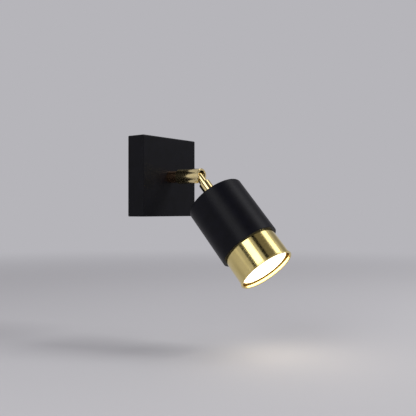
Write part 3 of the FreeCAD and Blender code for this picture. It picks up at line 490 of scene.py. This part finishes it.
def make_braid(materials):
    """The braided glass sleeve over the leads in the arm, in place of its plain solid."""
    low, high = (Vector(corner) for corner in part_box("flex_sleeve"))
    radius, length = (high.x - low.x) / 2, high.y - low.y - 2 * BRAID_HEM
    near = Vector(((low.x + high.x) / 2, high.y - BRAID_HEM, (low.z + high.z) / 2))
    # The yarns lie within the sleeve's own radius, and the core just under them.
    wound, under, bore = radius - 1.2 * YARN_HEIGHT, radius - 1.9 * YARN_HEIGHT, radius * 0.15
    core = turned("braid_core", [(under, 0.0), (under, length), (bore, length), (bore, 0.0)],
                  Vector(), Vector((0.0, 0.0, 1.0)), CORE_STEPS)
    core.data.materials.append(materials["glass_sleeve"])
    braid = grown("sleeve_braid", core, braid_tree(materials["glass_sleeve"]), {
        "Radius": wound, "Length": length, "Turns": YARN_TURNS, "Yarns": YARNS,
        "Yarn Width": YARN_WIDTH, "Yarn Height": YARN_HEIGHT}, leaning(near, ARM_LEAN))
    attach(braid, "arm")
    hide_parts("flex_sleeve")


# The two fine threads in millimetres: piece, body, slot of its finish, lean, and shank's radius.
# Then how far out along its axis the ridge starts, from the origin or the tilt hinge, and its length.
THREADS = (
    ("collar_thread", "wall_base", "collar_brass", ARM_LEAN, 4.9, 13.7, 5.2),
    ("stem_thread", "head", "stem_brass", HEAD_LEAN, 3.95, 33.7, 6.6),
)
THREAD_PITCH = 1.0 * MM
THREAD_RIDGE = 0.13 * MM
# How wide the ridge's section is scaled, as a share of the pitch, and points in a turn of it.
RIDGE_WIDE = 0.4
THREAD_STEPS = 32


def thread_tree(material):
    """One ridge wound round a shank at a screw thread's pitch."""
    tree = bpy.data.node_groups.new("thread", "GeometryNodeTree")
    ask(tree, "Shank", "NodeSocketGeometry", None)
    ask(tree, "Radius", "NodeSocketFloat", 1.0)
    ask(tree, "Length", "NodeSocketFloat", 1.0)
    ask(tree, "Pitch", "NodeSocketFloat", 1.0)
    ask(tree, "Ridge", "NodeSocketFloat", 1.0)
    tree.interface.new_socket(name="Geometry", in_out="OUTPUT", socket_type="NodeSocketGeometry")
    given = add(tree, "NodeGroupInput").outputs
    turns = add(tree, "ShaderNodeMath", {"operation": "DIVIDE"}, in_0=given["Length"],
                in_1=given["Pitch"])
    helix = add(tree, "GeometryNodeCurveSpiral", Resolution=THREAD_STEPS,
                Rotations=turns.outputs[0], Start_Radius=given["Radius"],
                End_Radius=given["Radius"], Height=given["Length"])
    upright = add(tree, "GeometryNodeSetCurveNormal", {"mode": "Z_UP"},
                  Curve=helix.outputs["Curve"])
    section = add(tree, "GeometryNodeCurvePrimitiveCircle", Resolution=3, Radius=1.0)
    width = add(tree, "ShaderNodeMath", {"operation": "MULTIPLY"}, in_0=given["Pitch"],
                in_1=RIDGE_WIDE)
    shape = add(tree, "ShaderNodeCombineXYZ", X=given["Ridge"], Y=width.outputs[0], Z=1.0)
    # Turned half round, so that the triangle's point is outward.
    section = add(tree, "GeometryNodeTransform", Geometry=section.outputs["Curve"],
                  Scale=shape.outputs[0], Rotation=(0.0, 0.0, math.pi))
    ridge = add(tree, "GeometryNodeCurveToMesh", Curve=upright.outputs[0],
                Profile_Curve=section.outputs[0], Fill_Caps=True)
    joined = add(tree, "GeometryNodeJoinGeometry")
    tree.links.new(ridge.outputs[0], joined.inputs[0])
    tree.links.new(given["Shank"], joined.inputs[0])
    finish_tree(tree, joined.outputs[0], material)
    return tree


def make_threads(materials):
    """The ridges of the collar's thread inside the box and of the stem's inside the housing."""
    starts = {"wall_base": Vector(), "head": joint_place("head_tilt")}
    for name, body, slot, lean, radius, start, length in THREADS:
        empty = bpy.data.objects.new(name + "_start", bpy.data.meshes.new(name + "_start"))
        bpy.context.collection.objects.link(empty)
        place = leaning(starts[body], lean) @ Matrix.Translation((0.0, 0.0, start * MM))
        sizes = {"Radius": radius * MM, "Length": length * MM,
                 "Pitch": THREAD_PITCH, "Ridge": THREAD_RIDGE}
        ridge = grown(name, empty, thread_tree(materials[slot]), sizes, place)
        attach(ridge, body)


LEAD_DIAMETER = 1.6 * MM
LEAD_BEND = 2.2 * MM
LEAD_SIDES, BEND_STEPS = 20, 10
# Centre lines of the leads in millimetres: node, slot of its finish, and the points of its route.
BASE_LEADS = (
    ("live_lead", "brown_lead", [(-1.0, -46.0, -0.575), (-1.0, -8.8, -0.575), (-9.4, -5.5, -8.0),
                                 (-9.4, -5.5, -17.8)]),
    ("neutral_lead", "blue_lead", [(1.0, -46.0, -0.575), (1.0, -8.8, -0.575), (9.4, -5.5, -8.0),
                                   (9.4, -5.5, -17.8)]),
    ("earth_lead", "green_lead", [(0.0, -46.0, 1.15), (0.0, -9.2, 1.15), (0.0, -5.7, 7.0),
                                  (0.0, -5.7, 15.8)]),
)
# The same in the head's own frame: aside from its axis, and along it from the tilt hinge.
HEAD_LEADS = (
    ("head_live_lead", "brown_lead", [(-0.8625, 10.0), (-0.8625, 41.8),
                                      (-5.0, 47.0), (-5.0, 53.5)]),
    ("head_neutral_lead", "blue_lead", [(0.8625, 10.0), (0.8625, 41.8),
                                        (5.0, 47.0), (5.0, 53.5)]),
)


def lead_tree(material):
    """A round lead along a polyline, bent at each corner with one radius."""
    tree = bpy.data.node_groups.new("lead", "GeometryNodeTree")
    ask(tree, "Route", "NodeSocketGeometry", None)
    ask(tree, "Diameter", "NodeSocketFloat", 1.0)
    ask(tree, "Bend", "NodeSocketFloat", 1.0)
    tree.interface.new_socket(name="Geometry", in_out="OUTPUT", socket_type="NodeSocketGeometry")
    given = add(tree, "NodeGroupInput").outputs
    route = add(tree, "GeometryNodeMeshToCurve", Mesh=given["Route"])
    bent = add(tree, "GeometryNodeFilletCurve", {"mode": "POLY"}, Curve=route.outputs[0],
               Count=BEND_STEPS, Radius=given["Bend"], Limit_Radius=True)
    half = add(tree, "ShaderNodeMath", {"operation": "MULTIPLY"}, in_0=given["Diameter"], in_1=0.5)
    ring = add(tree, "GeometryNodeCurvePrimitiveCircle", Resolution=LEAD_SIDES,
               Radius=half.outputs[0])
    skin = add(tree, "GeometryNodeCurveToMesh", Curve=bent.outputs[0],
               Profile_Curve=ring.outputs[0], Fill_Caps=True)
    finish_tree(tree, skin.outputs[0], material)
    return tree


def make_leads(materials):
    """The leads with smooth bends, each in place of its plain solid."""
    pivot = joint_place("head_tilt")
    aside = Vector((0.0, -math.sin(TILT), math.cos(TILT)))
    routes = []
    for node, slot, spots in BASE_LEADS:
        routes.append((node, slot, "wall_base", [Vector(spot) * MM for spot in spots]))
    for node, slot, spots in HEAD_LEADS:
        routes.append((node, slot, "head",
                       [pivot + (aside * off + HEAD_AXIS * out) * MM for off, out in spots]))
    for node, slot, body, spots in routes:
        mesh = bpy.data.meshes.new(node)
        mesh.from_pydata(spots, [(i, i + 1) for i in range(len(spots) - 1)], [])
        route = bpy.data.objects.new(node + "_route", mesh)
        bpy.context.collection.objects.link(route)
        skin = grown(node + "_skin", route, lead_tree(materials[slot]),
                     {"Diameter": LEAD_DIAMETER, "Bend": LEAD_BEND})
        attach(skin, body)
        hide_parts(node)


# ---------------------------------------------------------------- stage and light

# In metres: the floor's drop below the light, half its side, and where it fades out.
FLOOR_DROP = 0.058
FLOOR_HALF = 4.0
FLOOR_FADE = (0.45, 1.5)
BACKGROUND = "#b6b5ba"
FLOOR_PAINT = "#c4c3c5"
# What every light and card faces: the middle of the wall light.
AIM = Vector((0.0, -0.09, -0.04))
# The corners of a square with half a side of one.
SQUARE = ((-1, -1), (1, -1), (1, 1), (-1, 1))


def make_floor():
    """A plain pale floor under the light, which runs out into the background without a horizon."""
    material, tree, shader = new_material("pale_floor")
    shader.inputs["Base Color"].default_value = linear(FLOOR_PAINT)
    shader.inputs["Roughness"].default_value = 0.9
    shader.inputs["Specular IOR Level"].default_value = 0.1
    place = add(tree, "ShaderNodeTexCoord")
    away = add(tree, "ShaderNodeVectorMath", {"operation": "LENGTH"}, in_0=place.outputs["Object"])
    fade = add(tree, "ShaderNodeMapRange", {"interpolation_type": "SMOOTHSTEP"},
               Value=away.outputs["Value"], in_1=FLOOR_FADE[0], in_2=FLOOR_FADE[1])
    far = add(tree, "ShaderNodeEmission", Color=linear(BACKGROUND), Strength=1.0)
    mixed = add(tree, "ShaderNodeMixShader", in_0=fade.outputs["Result"],
                in_1=shader.outputs["BSDF"], in_2=far.outputs["Emission"])
    out = next(node for node in tree.nodes if node.type == "OUTPUT_MATERIAL")
    tree.links.new(mixed.outputs["Shader"], out.inputs["Surface"])
    mesh = bpy.data.meshes.new("floor")
    corners = [(x * FLOOR_HALF, y * FLOOR_HALF, 0.0) for x, y in SQUARE]
    mesh.from_pydata(corners, [], [(0, 1, 2, 3)])
    mesh.materials.append(material)
    floor = bpy.data.objects.new("floor", mesh)
    floor.location.z = cad_box[0][2] - FLOOR_DROP
    bpy.context.collection.objects.link(floor)


def make_world():
    """An even pale surround."""
    world = bpy.data.worlds.new("surround")
    world.use_nodes = True
    tree = world.node_tree
    tree.nodes.clear()
    glow = add(tree, "ShaderNodeBackground", Color=linear(BACKGROUND), Strength=1.0)
    add(tree, "ShaderNodeOutputWorld", Surface=glow.outputs["Background"])
    bpy.context.scene.world = world


def reflected(angle):
    """The direction that the sleeve mirrors to the camera at an angle round the head's axis."""
    heading = Vector((math.sin(CAMERA_HEADING), math.cos(CAMERA_HEADING), 0.0))
    lean = heading.dot(HEAD_AXIS)
    back = (HEAD_AXIS * lean - heading).normalized()
    across = HEAD_AXIS.cross(back)
    if across.x < 0.0:
        across.negate()
    turn = math.radians(angle)
    aside = back * math.cos(turn) + across * math.sin(turn)
    return HEAD_AXIS * lean + aside * math.sqrt(1 - lean * lean)


def facing(direction, distance):
    """A frame at a distance from AIM, with its z away from it and its y along the head."""
    out = direction.normalized()
    side = HEAD_AXIS.cross(out).normalized()
    stand = Matrix((side, out.cross(side), out)).transposed().to_4x4()
    stand.translation = AIM + out * distance
    return stand


def soft_box(name, direction, distance, size, power):
    """A rectangular area light that faces the head."""
    data = bpy.data.lights.new(name, "AREA")
    data.shape = "RECTANGLE"
    data.size, data.size_y = size
    data.energy = power
    lamp = bpy.data.objects.new(name, data)
    lamp.matrix_world = facing(direction, distance)
    bpy.context.collection.objects.link(lamp)


def card(name, direction, distance, size, shade):
    """A studio card that only reflections see, as beside a soft box when metal is photographed."""
    material = bpy.data.materials.new(name)
    material.use_nodes = True
    tree = material.node_tree
    tree.nodes.clear()
    glow = add(tree, "ShaderNodeEmission", Color=linear(shade), Strength=1.0)
    add(tree, "ShaderNodeOutputMaterial", Surface=glow.outputs["Emission"])
    mesh = bpy.data.meshes.new(name)
    place = facing(direction, distance)
    corners = [place @ Vector((x * size[0] / 2, y * size[1] / 2, 0.0)) for x, y in SQUARE]
    mesh.from_pydata(corners, [], [(0, 1, 2, 3)])
    mesh.materials.append(material)
    sheet = bpy.data.objects.new(name, mesh)
    for ray in ("camera", "diffuse", "shadow", "transmission", "volume_scatter"):
        setattr(sheet, "visible_" + ray, False)
    bpy.context.collection.objects.link(sheet)


# Each light: its direction from the head, distance, width and height in metres, and watts.
SOFT_BOXES = {
    # The white stripe down the sleeve.
    "left_box": (reflected(-4), 1.0, (0.53, 0.60), 2.1),
    # The cream stripe near its right edge.
    "right_box": (reflected(86), 1.0, (0.38, 0.80), 1.45),
    # The left side of the square box.
    "edge_box": (Vector((-0.97, -0.15, 0.12)), 1.0, (0.30, 0.25), 0.9),
    # The front faces and the soft shadow.
    "key_box": (Vector((0.44, -0.69, 0.59)), 1.5, (0.45, 0.45), 8.0),
}
# Each card: its direction, distance, width and height, and shade.
CARDS = {
    # The thin dark line left of the white stripe.
    "left_card": (reflected(-25.5), 0.95, (0.27, 0.80), "#020202"),
    # The dark line right of it.
    "middle_card": (reflected(31.8), 0.94, (0.23, 0.80), "#020202"),
    # The olive band between the stripes.
    "top_card": (reflected(54), 0.97, (0.52, 0.90), "#6c6862"),
    # The sleeve's darker right edge.
    "right_card": (reflected(128), 0.97, (0.48, 0.90), "#8e8d90"),
    # The bright petals along the arm's side.
    "rear_card": (reflected(-62), 1.0, (0.42, 0.90), "#cccbce"),
}


def make_lights():
    """Soft boxes round the light, and the cards that part their reflections."""
    for name, settings in SOFT_BOXES.items():
        soft_box(name, *settings)
    for name, settings in CARDS.items():
        card(name, *settings)


make_camera()
finishes = make_materials()
dress_nodes(finishes)
make_lens_rim(finishes)
make_braid(finishes)
make_threads(finishes)
make_leads(finishes)
make_floor()
make_world()
make_lights()

bpy.context.scene.view_settings.view_transform = "Standard"
